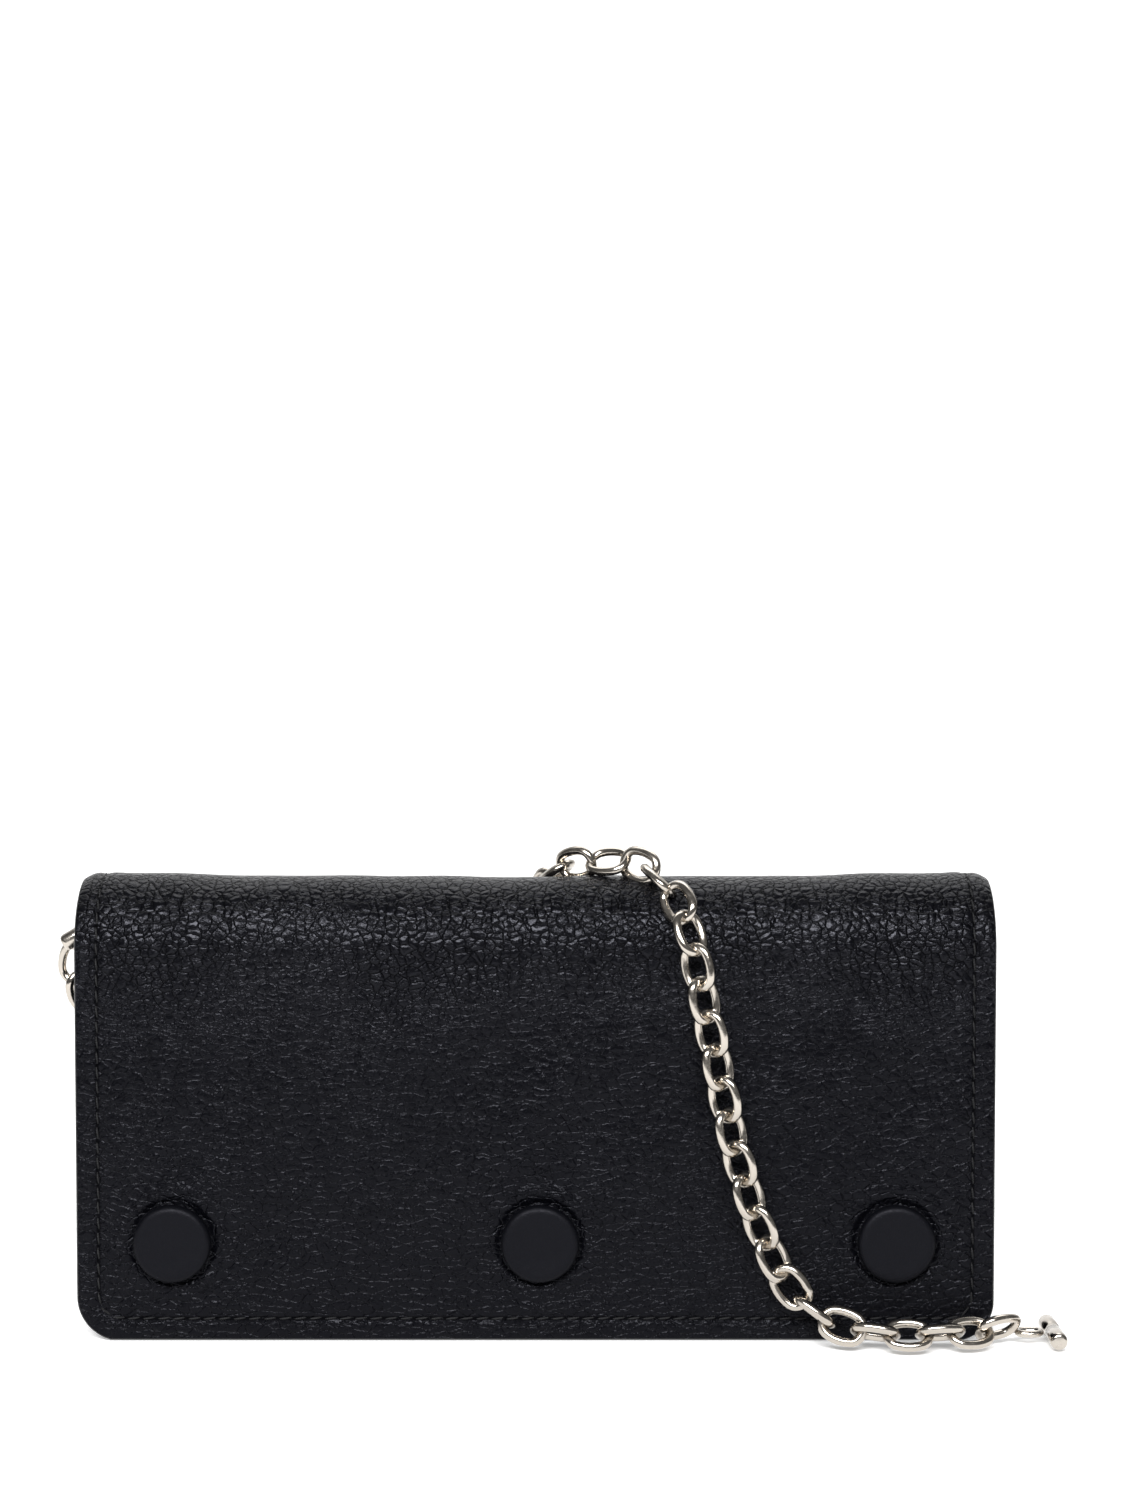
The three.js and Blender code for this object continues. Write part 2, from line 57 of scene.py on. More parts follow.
# ------------------------------------------------------------------ camera
cam_data = bpy.data.cameras.new("camera")
cam_data.sensor_fit = "VERTICAL"
cam_data.sensor_height = 24.0
cam_data.lens = 24.0 * 2784.7 / 1500.0
cam_data.clip_start = 0.01
cam = bpy.data.objects.new("camera", cam_data)
scene.collection.objects.link(cam)
cam.location = (0.0059, -0.615, 0.1604)
cam.rotation_euler = (math.radians(87.0), 0, 0)
scene.camera = cam

# ------------------------------------------------------------------ dimensions (mm), as in the frame
HALF, BACK_Y, FOLD_Z, RISE = 100.0, 15.0, 85.0, 15.0
LEATHER = 1.3
LINK_PITCH, LINK_L, LINK_W, WIRE = 7.2, 11.0, 8.3, 1.95
SNAP_X, SNAP_Z = (-79.0, 1.0, 78.5), 21.6


# ------------------------------------------------------------------ mesh helpers
def new_object(name, verts, faces, smooth=True):
    me = bpy.data.meshes.new(name)
    me.from_pydata([tuple(v) for v in verts], [], faces)
    me.validate()
    me.update()
    if smooth:
        me.polygons.foreach_set("use_smooth", [True] * len(me.polygons))
    ob = bpy.data.objects.new(name, me)
    scene.collection.objects.link(ob)
    return ob


def catmull(points, samples=40):
    """Centripetal Catmull-Rom line through the points, densely sampled."""
    p = [np.array(q, float) for q in points]
    p = [2 * p[0] - p[1]] + p + [2 * p[-1] - p[-2]]
    out = []
    for i in range(1, len(p) - 2):
        a, b, c, d = p[i - 1], p[i], p[i + 1], p[i + 2]
        t0 = 0.0
        t1 = t0 + max(np.linalg.norm(b - a), 1e-9) ** 0.5
        t2 = t1 + max(np.linalg.norm(c - b), 1e-9) ** 0.5
        t3 = t2 + max(np.linalg.norm(d - c), 1e-9) ** 0.5
        for k in range(samples):
            t = t1 + (t2 - t1) * k / samples
            a1 = (t1 - t) / (t1 - t0) * a + (t - t0) / (t1 - t0) * b
            a2 = (t2 - t) / (t2 - t1) * b + (t - t1) / (t2 - t1) * c
            a3 = (t3 - t) / (t3 - t2) * c + (t - t2) / (t3 - t2) * d
            b1 = (t2 - t) / (t2 - t0) * a1 + (t - t0) / (t2 - t0) * a2
            b2 = (t3 - t) / (t3 - t1) * a2 + (t - t1) / (t3 - t1) * a3
            out.append((t2 - t) / (t2 - t1) * b1 + (t - t1) / (t2 - t1) * b2)
    out.append(p[-2])
    return np.array(out)


class Line:
    """A path with its distance along it."""

    def __init__(self, pts):
        self.p = np.array(pts, float)
        d = np.linalg.norm(np.diff(self.p, axis=0), axis=1)
        self.s = np.concatenate([[0], np.cumsum(d)])
        self.length = float(self.s[-1])

    def at(self, s):
        s = min(max(s, 0.0), self.length)
        return np.array([np.interp(s, self.s, self.p[:, k]) for k in range(3)])

    def tangent(self, s, h=1.5):
        t = self.at(s + h) - self.at(s - h)
        return t / np.linalg.norm(t)


def torus_link(centre, tangent, side, length, width, wire, seg=32, ring=12, flat=1.0):
    """One oval chain link; its long axis along tangent, its width along side."""
    t = Vector(tangent).normalized()
    w = Vector(side)
    w = (w - w.dot(t) * t).normalized()
    n = t.cross(w)
    rc = (width - wire) / 2
    straight = (length - wire) / 2 - rc
    verts, faces = [], []
    for i in range(seg):
        a = 2 * math.pi * i / seg
        ca, sa = math.cos(a), math.sin(a)
        # superellipse-like outline: straight-ish flanks with round ends
        u = rc * ca + (straight * max(-1.0, min(1.0, ca * 1.7)))
        v = rc * sa
        # outline normal
        du = -rc * sa - (straight * 1.7 * sa if abs(ca * 1.7) < 1 else 0.0)
        dv = rc * ca
        ln = math.hypot(du, dv)
        nu, nv = dv / ln, -du / ln
        c = Vector(centre) + t * (u * MM) + w * (v * MM)
        for j in range(ring):
            b = 2 * math.pi * (j + 0.5) / ring
            # the wire is drawn with four soft flats, turned 45 degrees to the link's plane
            cb, sb = abs(math.cos(b - math.pi / 4)), abs(math.sin(b - math.pi / 4))
            r = wire / 2 * 0.97 / (cb**2.9 + sb**2.9) ** (1 / 2.9)
            o = (t * nu + w * nv) * (math.cos(b) * r * MM) + n * (
                math.sin(b) * r * flat * MM
            )
            verts.append(c + o)
    for i in range(seg):
        for j in range(ring):
            a0 = i * ring + j
            a1 = i * ring + (j + 1) % ring
            b0 = ((i + 1) % seg) * ring + j
            b1 = ((i + 1) % seg) * ring + (j + 1) % ring
            faces.append((a0, b0, b1, a1))
    return verts, faces


def chain(name, line, phase=0, start=LINK_PITCH / 2, roll=45.0, ref=(0, 0, 1), lead=()):
    """Links along the path, each turned a quarter turn from the last; lead links are placed one by one."""
    verts, faces = [], []
    c = [np.array(line.p[0])] + [np.array(q[0], float) for q in lead] + [line.at(start)]
    for i, (_, width_dir) in enumerate(lead):
        v, f = torus_link(Vector(c[i + 1]) * MM, Vector(c[i + 2] - c[i]), width_dir, LINK_L, LINK_W, WIRE)
        k = len(verts)
        verts += v
        faces += [tuple(q + k for q in face) for face in f]
    n = int((line.length - start + LINK_PITCH * 0.45) // LINK_PITCH) + 1
    pitch = LINK_PITCH
    up = None
    rng = np.random.default_rng(7 + phase)
    for i in range(n):
        s = start + i * pitch
        if s > line.length + 0.5:
            break
        a = line.at(s - pitch / 2)
        b = line.at(s + pitch / 2)
        c = line.at(s)
        c = (a + b) / 2 * 0.5 + c * 0.5
        t = Vector(line.tangent(s, 3.4))
        r = Vector(ref)
        if up is None:
            up = (r - r.dot(t) * t).normalized()
        else:
            up = (up - up.dot(t) * t).normalized()
            # drift back towards the reference so the twist stays put
            r2 = r - r.dot(t) * t
            if r2.length > 0.3:
                up = (up * 0.7 + r2.normalized() * 0.3).normalized()
        turn = roll if (i + phase) % 2 == 0 else roll - 90.0
        turn += float(rng.normal(0, 4.0))
        side = Quaternion(t, math.radians(turn)) @ up
        v, f = torus_link(c * MM, t, side, LINK_L, LINK_W, WIRE)
        k = len(verts)
        verts += v
        faces += [tuple(q + k for q in face) for face in f]
    return new_object(name, verts, faces)


# ------------------------------------------------------------------ chain strap
# the first links behind the left end, placed one by one: centre and direction of the width
REAR_LINKS = [
    ((-99.4, 8.4, 85.6), (0.30, 1.0, 0.20)),
    ((-104.5, 11.0, 79.3), (0.85, -0.50, 0.10)),
    ((-102.9, 14.0, 72.9), (0.80, 0.62, 0.10)),
    ((-101.2, 17.8, 66.9), (0.72, -0.70, 0.0)),
]
DROP = [(-98.2, 6.6, 87.6)] + [q[0] for q in REAR_LINKS] + [
    (-99.2, 20.2, 60.3), (-97.2, 20.8, 49), (-94.4, 21, 36),
    (-91.0, 21, 22.5), (-87.2, 21, 13.0), (-82.6, 21, 7.6), (-77.9, 21, 5.9),
]
RISE_PTS = [
    (-50, 21, 22.8), (-39, 20.4, 27.5), (-29, 20, 37), (-20, 19.9, 49.5),
    (-11, 19.9, 63), (-3.4, 19.9, 75.5), (0.4, 19.9, 83.6),
]
# centre of each link over the fold and down the front, with the direction of its width
A, B = (0.81, -0.59, 0.0), (0.79, 0.61, 0.0)
OVER_LINKS = [
    ((1.1, 18.8, 90.4), (1.0, 0.6, 0.0)),
    ((2.1, 15.6, 95.8), (0.7, -0.5, -0.5)),
    ((4.4, 10.6, 99.9), (0.7, 0.7, 0.2)),
    ((9.0, 5.6, 102.3), (0.0, -0.36, 1.0)),
    ((16.1, 1.0, 103.3), (0.22, 0.74, 0.62)),
    ((23.0, -2.9, 102.7), (0.1, 0.15, 1.0)),
    ((26.9, -8.0, 99.9), (-0.25, 0.95, 0.2)),
    ((31.0, -14.2, 95.7), (0.9, -0.5, 0.5)),
    ((33.4, -18.5, 89.6), B),
]
FRONT_LINKS = [
    ((34.9, -20.0, 82.4), A),
    ((36.4, -19.9, 75.3), B),
    ((37.9, -19.8, 68.1), A),
    ((39.4, -19.8, 60.9), B),
    ((40.8, -19.8, 53.8), A),
    ((42.3, -19.8, 46.7), B),
    ((44.1, -19.8, 39.8), A),
    ((46.2, -19.8, 32.8), B),
    ((48.6, -19.8, 25.9), A),
    ((51.5, -19.8, 19.2), (0.80, 0.65, 0.3)),
    ((55.2, -20.2, 13.0), (0.83, -0.25, 0.55)),
    ((60.2, -21.3, 8.0), (0.10, -0.98, 0.15)),
    ((66.2, -22.8, 5.2), (0.25, 0.28, 0.95)),
    ((73.0, -24.4, 4.3), (0.0, -0.86, 0.50)),
    ((80.0, -25.0, 3.8), (0.0, 0.78, 0.62)),
    ((87.0, -24.4, 4.2), (0.0, -0.86, 0.50)),
    ((93.6, -23.0, 3.8), (0.0, 0.78, 0.62)),
    ((100.0, -20.4, 4.3), (0.0, -0.70, 0.70)),
]


def hank_points():
    """Two and a bit turns of a long oval, one on the other, from the drop's end to the rise."""
    pts = []
    yc, r, l = 33.5, 12.5, 62.5
    z = [5.7, 13.9, 22.2]
    for turn in range(2):
        z0, z1 = z[turn], z[turn + 1]
        for i in range(12):
            f = i / 11
            pts.append((-l + 2 * l * f, yc - r, z0))
        for i in range(1, 12):
            a = -math.pi / 2 + math.pi * i / 12
            pts.append((l + r * math.cos(a), yc + r * math.sin(a), z0))
        for i in range(12):
            f = i / 11
            pts.append((l - 2 * l * f, yc + r, z0))
        for i in range(1, 12):
            a = math.pi / 2 + math.pi * i / 12
            f = i / 12
            zz = z0 + (z1 - z0) * (f * f * (3 - 2 * f))
            pts.append((-l + r * math.cos(a), yc + r * math.sin(a), zz))
    return pts


rear_line = Line(catmull(DROP + hank_points()[0:] + [(-58, 21.2, 22.4)] + RISE_PTS, 12))

_last = np.linalg.norm(rear_line.p - np.array(REAR_LINKS[-1][0]), axis=1).argmin()
chain_rear = chain(
    "chain_rear", rear_line, phase=0, ref=(0, 1, 0), lead=REAR_LINKS,
    start=float(rear_line.s[_last]) + LINK_PITCH,
)


def placed_chain(name, links, before, after):
    """Links at given centres, each with the direction of its width."""
    verts, faces = [], []
    c = [np.array(before, float)] + [np.array(q[0], float) for q in links] + [np.array(after, float)]
    for i, (_, side) in enumerate(links):
        t = c[i + 2] - c[i]
        v, f = torus_link(Vector(c[i + 1]) * MM, Vector(t), side, LINK_L, LINK_W, WIRE)
        k = len(verts)
        verts += v
        faces += [tuple(q + k for q in face) for face in f]
    return new_object(name, verts, faces)


chain_over = placed_chain("chain_over_fold", OVER_LINKS, RISE_PTS[-1], FRONT_LINKS[0][0])
chain_front = placed_chain("chain_front_run", FRONT_LINKS, OVER_LINKS[-1][0], (103.6, -18.2, 4.0))


# ------------------------------------------------------------------ material helpers
class Nodes:
    def __init__(self, name):
        self.m = bpy.data.materials.new(name)
        self.m.use_nodes = True
        self.t = self.m.node_tree
        self.t.nodes.clear()
        self.out = self.t.nodes.new("ShaderNodeOutputMaterial")
        self.bsdf = self.t.nodes.new("ShaderNodeBsdfPrincipled")
        self.t.links.new(self.bsdf.outputs[0], self.out.inputs[0])
        self.coord = self.t.nodes.new("ShaderNodeTexCoord")

    def set(self, socket, value):
        s = self.bsdf.inputs[socket]
        if hasattr(value, "is_linked") or isinstance(value, bpy.types.NodeSocket):
            self.t.links.new(value, s)
        else:
            s.default_value = value

    def feed(self, node, socket, value):
        s = node.inputs[socket]
        if isinstance(value, bpy.types.NodeSocket):
            self.t.links.new(value, s)
        else:
            s.default_value = value

    def scaled(self, x, y, z, vec=None):
        n = self.t.nodes.new("ShaderNodeVectorMath")
        n.operation = "MULTIPLY"
        self.feed(n, 0, vec or self.coord.outputs["Object"])
        n.inputs[1].default_value = (x, y, z)
        return n.outputs[0]

    def vadd(self, a, b):
        n = self.t.nodes.new("ShaderNodeVectorMath")
        n.operation = "ADD"
        self.feed(n, 0, a)
        self.feed(n, 1, b)
        return n.outputs[0]

    def noise(self, vec, scale, detail=3.0, rough=0.5, color=False):
        n = self.t.nodes.new("ShaderNodeTexNoise")
        self.feed(n, "Vector", vec)
        n.inputs["Scale"].default_value = scale
        n.inputs["Detail"].default_value = detail
        n.inputs["Roughness"].default_value = rough
        return n.outputs["Color" if color else "Fac"]

    def voronoi(self, vec, scale, feature="DISTANCE_TO_EDGE", randomness=1.0, out=0):
        n = self.t.nodes.new("ShaderNodeTexVoronoi")
        n.feature = feature
        self.feed(n, "Vector", vec)
        n.inputs["Scale"].default_value = scale
        n.inputs["Randomness"].default_value = randomness
        return n.outputs[out]

    def ramp(self, v, a, b, c=0.0, d=1.0, smooth=True):
        n = self.t.nodes.new("ShaderNodeMapRange")
        n.interpolation_type = "SMOOTHSTEP" if smooth else "LINEAR"
        self.feed(n, "Value", v)
        n.inputs["From Min"].default_value = a
        n.inputs["From Max"].default_value = b
        n.inputs["To Min"].default_value = c
        n.inputs["To Max"].default_value = d
        return n.outputs[0]

    def math(self, op, a, b=0.0, clamp=False):
        n = self.t.nodes.new("ShaderNodeMath")
        n.operation = op
        n.use_clamp = clamp
        self.feed(n, 0, a)
        self.feed(n, 1, b)
        return n.outputs[0]

    def mix(self, f, a, b):
        n = self.t.nodes.new("ShaderNodeMix")
        n.data_type = "RGBA"
        self.feed(n, 0, f)
        for k, v in ((6, a), (7, b)):
            if isinstance(v, bpy.types.NodeSocket):
                self.t.links.new(v, n.inputs[k])
            else:
                n.inputs[k].default_value = (*v, 1.0)
        return n.outputs[2]

    def mixf(self, f, a, b):
        n = self.t.nodes.new("ShaderNodeMix")
        n.data_type = "FLOAT"
        self.feed(n, 0, f)
        self.feed(n, 2, a)
        self.feed(n, 3, b)
        return n.outputs[0]

    def bump(self, h, distance, strength=1.0, normal=None):
        n = self.t.nodes.new("ShaderNodeBump")
        self.feed(n, "Height", h)
        n.inputs["Distance"].default_value = distance
        n.inputs["Strength"].default_value = strength
        if normal is not None:
            self.t.links.new(normal, n.inputs["Normal"])
        return n.outputs[0]

    def xyz(self):
        n = self.t.nodes.new("ShaderNodeSeparateXYZ")
        self.t.links.new(self.coord.outputs["Object"], n.inputs[0])
        return n.outputs


def pebbled_leather(name="pebbled_leather_black"):
    k = Nodes(name)
    obj = k.coord.outputs["Object"]
    x, y, z = k.xyz()

    def wander(vec, scale, amount, detail=3.0):
        w = k.t.nodes.new("ShaderNodeVectorMath")
        w.operation = "MULTIPLY_ADD"
        k.feed(w, 0, k.noise(obj, scale, detail, 0.55, color=True))
        w.inputs[1].default_value = (amount, amount, amount)
        k.feed(w, 2, vec)
        return w.outputs[0]

    # wander the lattice, coarsely and then finely, so no cell is a plain polygon
    p = wander(wander(obj, 190.0, 0.0022), 900.0, 0.00042)
    # large domed pebbles
    big = k.voronoi(k.scaled(1.0, 1.0, 1.12, p), 490.0)
    big_crack = k.ramp(big, 0.0, 0.09)
    groove = k.ramp(big, 0.0, 0.055)
    big_dome = k.ramp(big, 0.0, 0.40)
    # lower, finer pebbles drawn out across the face
    fine = k.voronoi(k.scaled(0.76, 1.0, 1.28, p), 480.0)
    fine_crack = k.ramp(fine, 0.0, 0.12)
    fine_dome = k.ramp(fine, 0.0, 0.42)
    # short wrinkles across the pebbles, fading in and out
    tiny = k.voronoi(k.scaled(0.9, 1.0, 1.2, p), 1150.0)
    tiny_crack = k.ramp(tiny, 0.0, 0.17)
    fade_a = k.ramp(k.noise(obj, 300.0, 3.0, 0.6), 0.36, 0.60, 0.42, 1.0)
    fade_b = k.ramp(k.noise(k.scaled(1.0, 1.0, 1.6), 230.0, 3.0, 0.6), 0.40, 0.62, 0.05, 1.0)
    # open and large near the fold, closer on the flat face, in patches
    patches = k.noise(obj, 24.0, 2.0)
    near_fold = k.ramp(z, 0.056, 0.092)
    mask = k.math("ADD", near_fold, k.ramp(patches, 0.40, 0.75, -0.25, 0.45), clamp=True)
    crack = k.mixf(mask, k.math("MULTIPLY", k.math("MULTIPLY", fine_crack, fade_a), 0.60), k.math("MULTIPLY", big_crack, 0.62))
    dome = k.mixf(mask, k.math("MULTIPLY", fine_dome, 0.18), k.math("MULTIPLY", big_dome, 0.50))
    wrinkle = k.math("MULTIPLY", k.math("MULTIPLY", tiny_crack, fade_b), k.mixf(mask, 0.10, 0.20))
    under = k.math("MULTIPLY", big_dome, k.mixf(mask, 0.12, 0.0))
    h = k.math("ADD", k.math("ADD", crack, dome), k.math("ADD", wrinkle, under))
    pores = k.noise(obj, 3600.0, 3.0, 0.65)
    h2 = k.math("ADD", h, k.math("MULTIPLY", pores, 0.018))
    k.set("Normal", k.bump(h2, 0.00028, 1.0))
    tone = k.noise(obj, 60.0, 3.0)
    base = k.mix(tone, (0.0009, 0.00095, 0.0016), (0.0014, 0.00145, 0.0022))
    # painted shade: the cracks between the large pebbles are darkened, strongly near the fold and faintly on the flat
    # face, standing in for shade in the cracks
    deep = k.math("MULTIPLY", k.math("SUBTRACT", 1.0, groove), k.mixf(mask, 0.10, 0.95))
    # the stitch line is drawn in as painted shade, darker than the leather either side, standing in for the shadow in
    # the stitch groove
    across = k.math("ABSOLUTE", k.math("SUBTRACT", k.math("ABSOLUTE", x), 0.0952))
    down = k.math("ABSOLUTE", k.math("SUBTRACT", z, 0.0048))
    line_v = k.math("MULTIPLY", k.ramp(across, 0.0002, 0.0006, 1.0, 0.0), k.ramp(z, 0.0085, 0.0094))
    line_h = k.math("MULTIPLY", k.ramp(down, 0.0002, 0.0006, 1.0, 0.0), k.ramp(k.math("ABSOLUTE", x), 0.0906, 0.0914, 1.0, 0.0))
    stitch_groove_shade = k.math("MULTIPLY", k.math("MAXIMUM", line_v, line_h), 0.85)
    deep = k.math("MAXIMUM", deep, stitch_groove_shade)
    # painted shade: where the crack and stitch-line masks are high, the base colour is blended to this near-black shade
    # colour
    k.set("Base Color", k.mix(deep, base, (0.0005, 0.0005, 0.0007)))
    k.set("Roughness", k.ramp(k.noise(obj, 500.0, 2.0), 0.3, 0.7, 0.24, 0.29))
    # the fold is rubbed shinier than the flat face; the painted crease shade also cuts the specular in the cracks and
    # along the stitch line, so they read darker
    k.set("Specular IOR Level", k.mixf(deep, k.mixf(near_fold, 0.100, 0.150), 0.022))
    k.bsdf.inputs["Specular Tint"].default_value = (0.87, 0.88, 1.0, 1.0)
    return k.m


def smooth_leather(name="smooth_leather_black"):
    k = Nodes(name)
    obj = k.coord.outputs["Object"]
    cells = k.voronoi(obj, 1500.0)
    h = k.ramp(cells, 0.0, 0.22)
    soft = k.noise(obj, 900.0, 4.0)
    h2 = k.math("ADD", k.math("MULTIPLY", h, 0.5), soft)
    k.set("Normal", k.bump(h2, 0.00006, 0.5))
    tone = k.noise(obj, 120.0, 3.0)
    k.set("Base Color", k.mix(tone, (0.0012, 0.0013, 0.0021), (0.0020, 0.0021, 0.0031)))
    k.set("Roughness", k.ramp(soft, 0.3, 0.7, 0.42, 0.54))
    k.bsdf.inputs["Specular IOR Level"].default_value = 0.105
    k.bsdf.inputs["Specular Tint"].default_value = (0.88, 0.88, 1.0, 1.0)
    return k.m


def woven(name, colour, scale=1400.0, rough=0.85):
    k = Nodes(name)
    obj = k.coord.outputs["Object"]
    x, y, z = k.xyz()
    u = k.math("SINE", k.math("MULTIPLY", k.math("ADD", x, y), scale * 3.2))
    v = k.math("SINE", k.math("MULTIPLY", z, scale * 3.2))
    wv = k.math("MULTIPLY", u, v)
    soft = k.noise(obj, 2600.0, 2.0)
    h = k.math("ADD", wv, soft)
    k.set("Normal", k.bump(h, 0.00008, 0.5))
    tone = k.noise(obj, 90.0, 3.0)
    lo = tuple(c * 0.75 for c in colour)
    hi = tuple(c * 1.25 for c in colour)
    k.set("Base Color", k.mix(tone, lo, hi))
    k.bsdf.inputs["Roughness"].default_value = rough
    k.bsdf.inputs["Specular IOR Level"].default_value = 0.25
    return k.m


def polished_metal(name, colour=(0.80, 0.745, 0.67), rough=0.16):
    k = Nodes(name)
    obj = k.coord.outputs["Object"]
    smear = k.noise(obj, 420.0, 4.0, 0.6)
    scratch = k.noise(k.scaled(1.0, 1.0, 14.0), 900.0, 3.0, 0.6)
    k.set("Base Color", k.mix(smear, tuple(c * 0.90 for c in colour), colour))
    k.set("Metallic", 1.0)
    k.set("Roughness", k.ramp(smear, 0.35, 0.7, rough * 0.75, rough * 1.5))
    k.set("Normal", k.bump(k.math("ADD", smear, k.math("MULTIPLY", scratch, 0.3)), 0.00008, 0.25))
    return k.m


def thread(name="thread_black"):
    k = Nodes(name)
    obj = k.coord.outputs["Object"]
    ply = k.math("SINE", k.math("MULTIPLY", k.math("ADD", k.xyz()[0], k.xyz()[2]), 14000.0))
    k.set("Normal", k.bump(ply, 0.00006, 0.6))
    tone = k.noise(obj, 800.0, 2.0)
    k.set("Base Color", k.mix(tone, (0.003, 0.003, 0.0035), (0.009, 0.009, 0.010)))
    k.bsdf.inputs["Roughness"].default_value = 0.5
    k.bsdf.inputs["Specular IOR Level"].default_value = 0.22
    return k.m


def edge_paint(name="edge_paint_black"):
    k = Nodes(name)
    obj = k.coord.outputs["Object"]
    tone = k.noise(obj, 500.0, 3.0)
    k.set("Base Color", k.mix(tone, (0.003, 0.003, 0.0035), (0.007, 0.007, 0.008)))
    k.set("Roughness", k.ramp(tone, 0.3, 0.7, 0.34, 0.5))
    k.set("Normal", k.bump(tone, 0.0001, 0.3))
    return k.m


M_PEBBLE = pebbled_leather()
M_SMOOTH = smooth_leather()
M_LINING = woven("lining_fabric_black", (0.012, 0.012, 0.014))
M_TAPE = woven("zip_tape_black", (0.010, 0.010, 0.011), 900.0, 0.9)
M_METAL = polished_metal("nickel_polished", (0.50, 0.46, 0.41), 0.19)
M_CHAIN = polished_metal("chain_nickel", (0.50, 0.458, 0.405), 0.18)
M_THREAD = thread()
M_EDGE = edge_paint()


def paint(ob, *mats):
    ob.data.materials.clear()
    for m in mats:
        ob.data.materials.append(m)


for ob in (chain_rear, chain_over, chain_front):
    paint(ob, M_CHAIN)

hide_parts("chain_drop", "chain_hank", "chain_rise")
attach(chain_rear, "case")
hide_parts("chain_over")
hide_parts("chain_front")
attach(chain_front, "flap")

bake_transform(chain_over)


# ------------------------------------------------------------------ the outer sheet: back, fold and flap in one profile
def profile(offset):
    """Line in y and z from the back's foot over the fold to the flap's foot, inset by offset; returns (y, z, ny, nz) by distance."""
    pts = []
    a, b = BACK_Y - offset, RISE - offset
    steps = 240
    pts.append((a, 0.0, 1.0, 0.0))
    pts.append((a, FOLD_Z, 1.0, 0.0))
    for i in range(1, steps):
        f = math.pi * i / steps
        y, z = a * math.cos(f), FOLD_Z + b * math.sin(f)
        ny, nz = math.cos(f) / a, math.sin(f) / b
        ln = math.hypot(ny, nz)
        pts.append((y, z, ny / ln, nz / ln))
    pts.append((-a, FOLD_Z, -1.0, 0.0))
    pts.append((-a, 0.0, -1.0, 0.0))
    return np.array(pts)


ARC = math.pi * BACK_Y  # the fold's length on its outer face
TOTAL = 2 * FOLD_Z + ARC
Q_BACK = FOLD_Z + ARC * 0.25
Q_FRONT = FOLD_Z + ARC * 0.75
_prof = profile(0.0)
_d = np.concatenate([[0], np.cumsum(np.hypot(np.diff(_prof[:, 0]), np.diff(_prof[:, 1])))])
_d *= TOTAL / _d[-1]


def on_profile(s):
    y = np.interp(s, _d, _prof[:, 0])
    z = np.interp(s, _d, _prof[:, 1])
    ny = np.interp(s, _d, _prof[:, 2])
    nz = np.interp(s, _d, _prof[:, 3])
    ln = np.hypot(ny, nz)
    return y, z, ny / ln, nz / ln


def smoothstep(a, b, t):
    f = np.clip((t - a) / (b - a), 0, 1)
    return f * f * (3 - 2 * f)


rng = np.random.default_rng(11)
_waves = [
    (rng.uniform(15, 60), rng.uniform(15, 60), rng.uniform(0, 6.28), rng.uniform(0.03, 0.09))
    for _ in range(9)
]


def relief(x, s):
    """Height of the outer face over the plain sheet, in mm."""
    h = np.zeros_like(x)
    for lx, ls, ph, amp in _waves:
        h += amp * np.sin(2 * np.pi * (x / lx + s / ls) + ph)
    h *= smoothstep(0, 8, 100 - np.abs(x)) * smoothstep(0, 8, TOTAL - s) * smoothstep(0, 8, s)
    front = s > TOTAL / 2
    d_foot = np.where(front, TOTAL - s, s)
    # the seam pulls a shallow channel in along the edge
    edge = edge_distance(x, d_foot, front)
    h -= 0.30 * np.exp(-(((edge - 4.8) / 0.85) ** 2))
    h += 0.10 * np.exp(-(((edge - 7.4) / 1.5) ** 2))
    h += 0.12 * np.exp(-(((edge - 2.4) / 1.2) ** 2))
    # each snap draws the leather in round its cap
    for sx in SNAP_X:
        z = TOTAL - s
        dx, dz = x - sx, z - SNAP_Z
        r = np.hypot(dx, dz)
        a = np.arctan2(dz, dx)
        f = front.astype(float)
        h -= f * 0.50 * np.exp(-(((r - 8.6) / 0.9) ** 2))
        h += f * 0.20 * np.exp(-(((r - 10.9) / 1.3) ** 2))
        pucker = (
            np.sin(a * 17 + sx) * 0.5
            + np.sin(a * 29 + 1.3 * sx) * 0.35
            + np.sin(a * 11 - sx) * 0.3
        )
        h += f * 0.17 * pucker * np.exp(-(((r - 11.0) / 1.6) ** 2))
        h += f * 0.09 * np.sin((r - 9) * 2.6 + 0.6 * np.sin(a * 5)) * np.exp(
            -(((r - 12.2) / 2.6) ** 2)
        )
    return h


def corner(front, x):
    """Radius of the foot's corner on this side of the sheet."""
    return np.where(front, np.where(x < 0, 9.5, 8.5), 9.0)


def edge_distance(x, d_foot, front):
    r = corner(front, x)
    ax = 100.0 - np.abs(x)
    inside = (ax < r) & (d_foot < r)
    dr = r - np.hypot(r - ax, r - d_foot)
    return np.where(inside, dr, np.minimum(ax, d_foot))


def half_width(s):
    """Outline's half width on each side at distance s: left, right."""
    front = s > TOTAL / 2
    d = np.where(front, TOTAL - s, s)
    out = []
    for side in (-1.0, 1.0):
        r = corner(front, np.full_like(d, side))
        q = np.clip(r - d, 0, r)
        out.append(100.0 - (r - np.sqrt(np.maximum(r * r - q * q, 0))))
    return out


def spaced(a, b, step, dense=()):
    """Numbers from a to b about step apart, closer near each of dense (centre, reach, step)."""
    v = [a]
    while v[-1] < b - 1e-9:
        st = step
        for c, reach, fine in dense:
            if abs(v[-1] - c) < reach:
                st = min(st, fine)
        v.append(min(b, v[-1] + st))
    if len(v) > 2 and v[-1] - v[-2] < 0.25 * step:
        v.pop(-2)
    return np.array(v)


